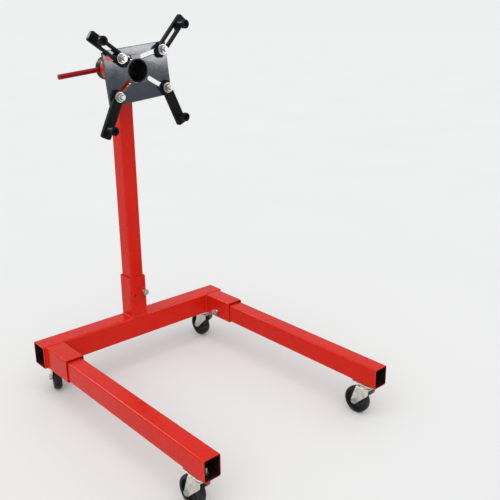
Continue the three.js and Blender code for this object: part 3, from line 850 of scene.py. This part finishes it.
def fork(name):
    """A pressed fork: one bent ribbon of steel, wide at the crown and narrow at the axle."""
    node = f"{name}_fork"
    kingpin, axle_at = joint_place(f"{name}_swivel"), joint_place(f"{name}_roll")
    back = axle_at - kingpin
    back.z = 0
    trail = back.length
    matrix = facing(Vector((kingpin.x, kingpin.y, 0)), Z, back.cross(Z))
    low, top = span(node, Z)
    half, wall, bend = 0.0165, 0.0025, 0.004
    axle = axle_at.z
    start = low + 0.00002
    side = [(half, start + (top - bend - low) * (1 - math.cos(math.pi / 2 * k / 16))) for k in range(17)]
    arc = [(half - bend + bend * math.cos(a), top - bend + bend * math.sin(a))
           for a in (math.pi / 2 * k / 6 for k in range(1, 7))]
    right = side + arc + [(0.006, top)]
    path = right + [(-x, z) for x, z in reversed(right)]
    columns = 9
    bm = bmesh.new()
    grid = []
    for x, z in path:
        front_at, rear_at = fork_edges(z, top, axle, trail)
        step = (rear_at - front_at) / (columns - 1)
        grid.append([bm.verts.new(matrix @ Vector((x, front_at + step * c, z))) for c in range(columns)])
    for row, after in zip(grid, grid[1:]):
        for i in range(columns - 1):
            bm.faces.new((row[i], row[i + 1], after[i + 1], after[i]))
    bmesh.ops.recalc_face_normals(bm, faces=bm.faces)
    middle_face = min(bm.faces, key=lambda f: abs(f.calc_center_median().z - top))
    if middle_face.normal.z < 0:
        bmesh.ops.reverse_faces(bm, faces=bm.faces)
    bmesh.ops.solidify(bm, geom=bm.faces, thickness=wall)
    piece = make(f"{name}_pressed_fork", bm, CASTER_ZINC, f"{name}_fork", [node])
    rounding = piece.modifiers.new("pressed_edges", "BEVEL")
    rounding.width = 0.0005
    rounding.segments = 2
    rounding.limit_method = "ANGLE"
    rounding.angle_limit = math.radians(50)
    piece.modifiers.move(len(piece.modifiers) - 1, 0)


def wheel(name):
    hub_at = joint_place(f"{name}_roll")
    axis = joint_axis(f"{name}_roll")
    node = f"{name}_wheel"
    radius = size(node).z / 2
    low, high = span(node, axis)
    half = (high - low) / 2
    matrix = facing(hub_at, axis, Z)
    tread_edge, seat, seat_half, shoulder = 0.0275, 0.0262, 0.0035, radius - 0.0045
    tread = []
    for k in range(13):
        share = -1 + 2 * k / 12
        tread.append((radius - 0.0026 * abs(share) ** 3 - 0.0002, share * (half - 0.0012)))
    side = half - 0.001
    ring = [(seat, -seat_half), (tread_edge, -side + 0.002), (tread_edge + 0.001, -side), (shoulder, -side),
            *tread, (shoulder, side), (tread_edge + 0.001, side), (tread_edge, side - 0.002),
            (seat, seat_half), (seat, -seat_half)]
    bm = bmesh.new()
    turned(bm, ring, matrix, 96)
    groove = [(tread_edge + 0.0035, side - 0.0002), (tread_edge + 0.0042, side + 0.0003),
              (tread_edge + 0.0049, side - 0.0002)]
    for sign in (1, -1):
        lines = [(r, sign * h) for r, h in groove]
        turned(bm, lines + [(tread_edge + 0.0042, sign * (side - 0.0012)), lines[0]], matrix, 96)
    bore, web_half = 0.0043, 0.004
    hub = [(bore, -half), (0.0095, -half), (0.0108, -half + 0.0012), (0.0118, -web_half),
           (0.0118, web_half), (0.0108, half - 0.0012), (0.0095, half), (bore, half), (bore, -half)]
    turned(bm, hub, matrix, 64)
    holes_at, hole_radius, web_outer, web_inner = 0.019, 0.0042, 0.0268, 0.0112
    holes = [circle(holes_at * math.cos(a), holes_at * math.sin(a), hole_radius, 28) for a in angles(6)]
    holes.append(circle(0, 0, web_inner, 48))
    web = flat_plate(circle(0, 0, web_outer, 96), holes, 2 * web_half, PRESSED_EDGE,
                     matrix @ Matrix.Translation((0, 0, -web_half)))
    mesh = bpy.data.meshes.new("web")
    web.to_mesh(mesh)
    web.free()
    bm.from_mesh(mesh)
    bpy.data.meshes.remove(mesh)
    make(f"{name}_tyre_and_web", bm, WHEEL, f"{name}_wheel", [node])


def axle(name):
    node = f"{name}_axle"
    axis = joint_axis(f"{name}_roll")
    low, high = (reach - axis.dot(joint_place(f"{name}_roll")) for reach in span(node, axis))
    matrix = facing(joint_place(f"{name}_roll"), axis, Z)
    bm = bmesh.new()
    flats, head, shank = 0.013, 0.004, 0.0039
    hexagon(bm, flats, high - head, high, matrix, chamfer_low=False)
    hexagon(bm, flats, low, low + head, matrix, chamfer_high=False)
    turned(bm, [(shank, low + head / 2), (shank, high - head / 2)], matrix, 32)
    make(f"{name}_axle_bolt", bm, ZINC, f"{name}_fork", [node])


# ---- stage, light and camera ----
CAMERA = {"azimuth": -41.89, "elevation": 18.79, "roll": -0.46, "distance": 1.6483,
          "target": Vector((0, -0.2046, 0.5021)), "lens": 49.9, "sensor": 36.0}
STUDIO = (0.855, 0.871, 0.863)  # the pale surroundings, linear
FLOOR_ALBEDO = 0.65
SUN_FROM = Vector((-0.45, -0.45, 0.77))


def floor():
    bm = bmesh.new()
    under_wheels = -0.0003
    rings = [[Vector((radius * math.cos(a), radius * math.sin(a), under_wheels)) for a in angles(64)]
             for radius in (0.5, 2, 8, 40)]
    verts = skin(bm, rings)
    cap(bm, verts[0])
    mesh = bpy.data.meshes.new("floor")
    bm.to_mesh(mesh)
    bm.free()
    ground = bpy.data.objects.new("floor", mesh)
    bpy.context.scene.collection.objects.link(ground)
    s = Shader("floor", roughness=0.9, specular=0.0)
    colour = s.ramp(s.noise(1.5, 2), (0.645, 0.645, 0.645), (0.655, 0.655, 0.655))
    s.finish(colour, s.spread(s.noise(5), 0.9, 0.96))
    mesh.materials.append(s.material)


def softbox(name, place, target, width, height, brightness, colour=(1, 1, 1)):
    """A softbox that shows only as a reflection. brightness is its radiance."""
    data = bpy.data.lights.new(name, "AREA")
    data.shape = "RECTANGLE"
    data.size, data.size_y = width, height
    data.energy = brightness * math.pi * width * height
    data.color = colour
    lamp = bpy.data.objects.new(name, data)
    lamp.location = place
    lamp.rotation_euler = (Vector(target) - Vector(place)).to_track_quat("-Z", "Y").to_euler()
    lamp.visible_camera = False
    lamp.visible_diffuse = False
    bpy.context.scene.collection.objects.link(lamp)


def lights():
    scene = bpy.context.scene
    scene.world = bpy.data.worlds.new("studio")
    scene.world.use_nodes = True
    background = scene.world.node_tree.nodes["Background"]
    background.inputs["Color"].default_value = (*STUDIO, 1)
    background.inputs["Strength"].default_value = 1.0
    data = bpy.data.lights.new("broad_sun", "SUN")
    data.angle = 1.3
    missing = math.pi * STUDIO[1] * (1 / FLOOR_ALBEDO - 1)  # what the floor needs to look like the world
    data.energy = missing / SUN_FROM.normalized().z
    sun = bpy.data.objects.new("broad_sun", data)
    sun.rotation_euler = SUN_FROM.to_track_quat("Z", "Y").to_euler()
    scene.collection.objects.link(sun)
    softbox("edge_left", (-0.96, 2.1, 2.1), (0, 0, 0.1), 1.2, 0.5, 26)
    softbox("edge_right", (1.9, -0.96, 2.3), (0, 0.3, 0.15), 1.2, 0.5, 22)
    softbox("plate_glow", (0.76, -0.94, 0.90), (0, 0.23, 0.95), 0.7, 0.12, 14, (0.95, 0.95, 1))
    scene.view_settings.view_transform = "Standard"
    scene.view_settings.look = "None"


def camera():
    azimuth, elevation, roll = (math.radians(CAMERA[key]) for key in ("azimuth", "elevation", "roll"))
    outward = Vector((math.sin(azimuth) * math.cos(elevation), -math.cos(azimuth) * math.cos(elevation),
                      math.sin(elevation)))
    right = Z.cross(outward).normalized()
    up = outward.cross(right)
    rolled_right = right * math.cos(roll) + up * math.sin(roll)
    data = bpy.data.cameras.new("camera")
    data.lens, data.sensor_width = CAMERA["lens"], CAMERA["sensor"]
    viewer = bpy.data.objects.new("camera", data)
    place = CAMERA["target"] + outward * CAMERA["distance"]
    viewer.matrix_world = facing(place, outward, rolled_right)
    bpy.context.scene.collection.objects.link(viewer)
    bpy.context.scene.camera = viewer


camera()
lights()
floor()
base()
welds()
fasteners()
head()
head_tubes()
handle()
lock_pin()
for arm_name in ARMS:
    arm(arm_name)
    arm_tube(arm_name)
    arm_fastener(arm_name)
for caster in CASTERS:
    carrier = "base" if caster.startswith("rear") else f"{caster.split('_')[1]}_leg"
    caster_plate(caster, carrier)
    caster_bolts(caster, carrier)
    fork(caster)
    wheel(caster)
    axle(caster)
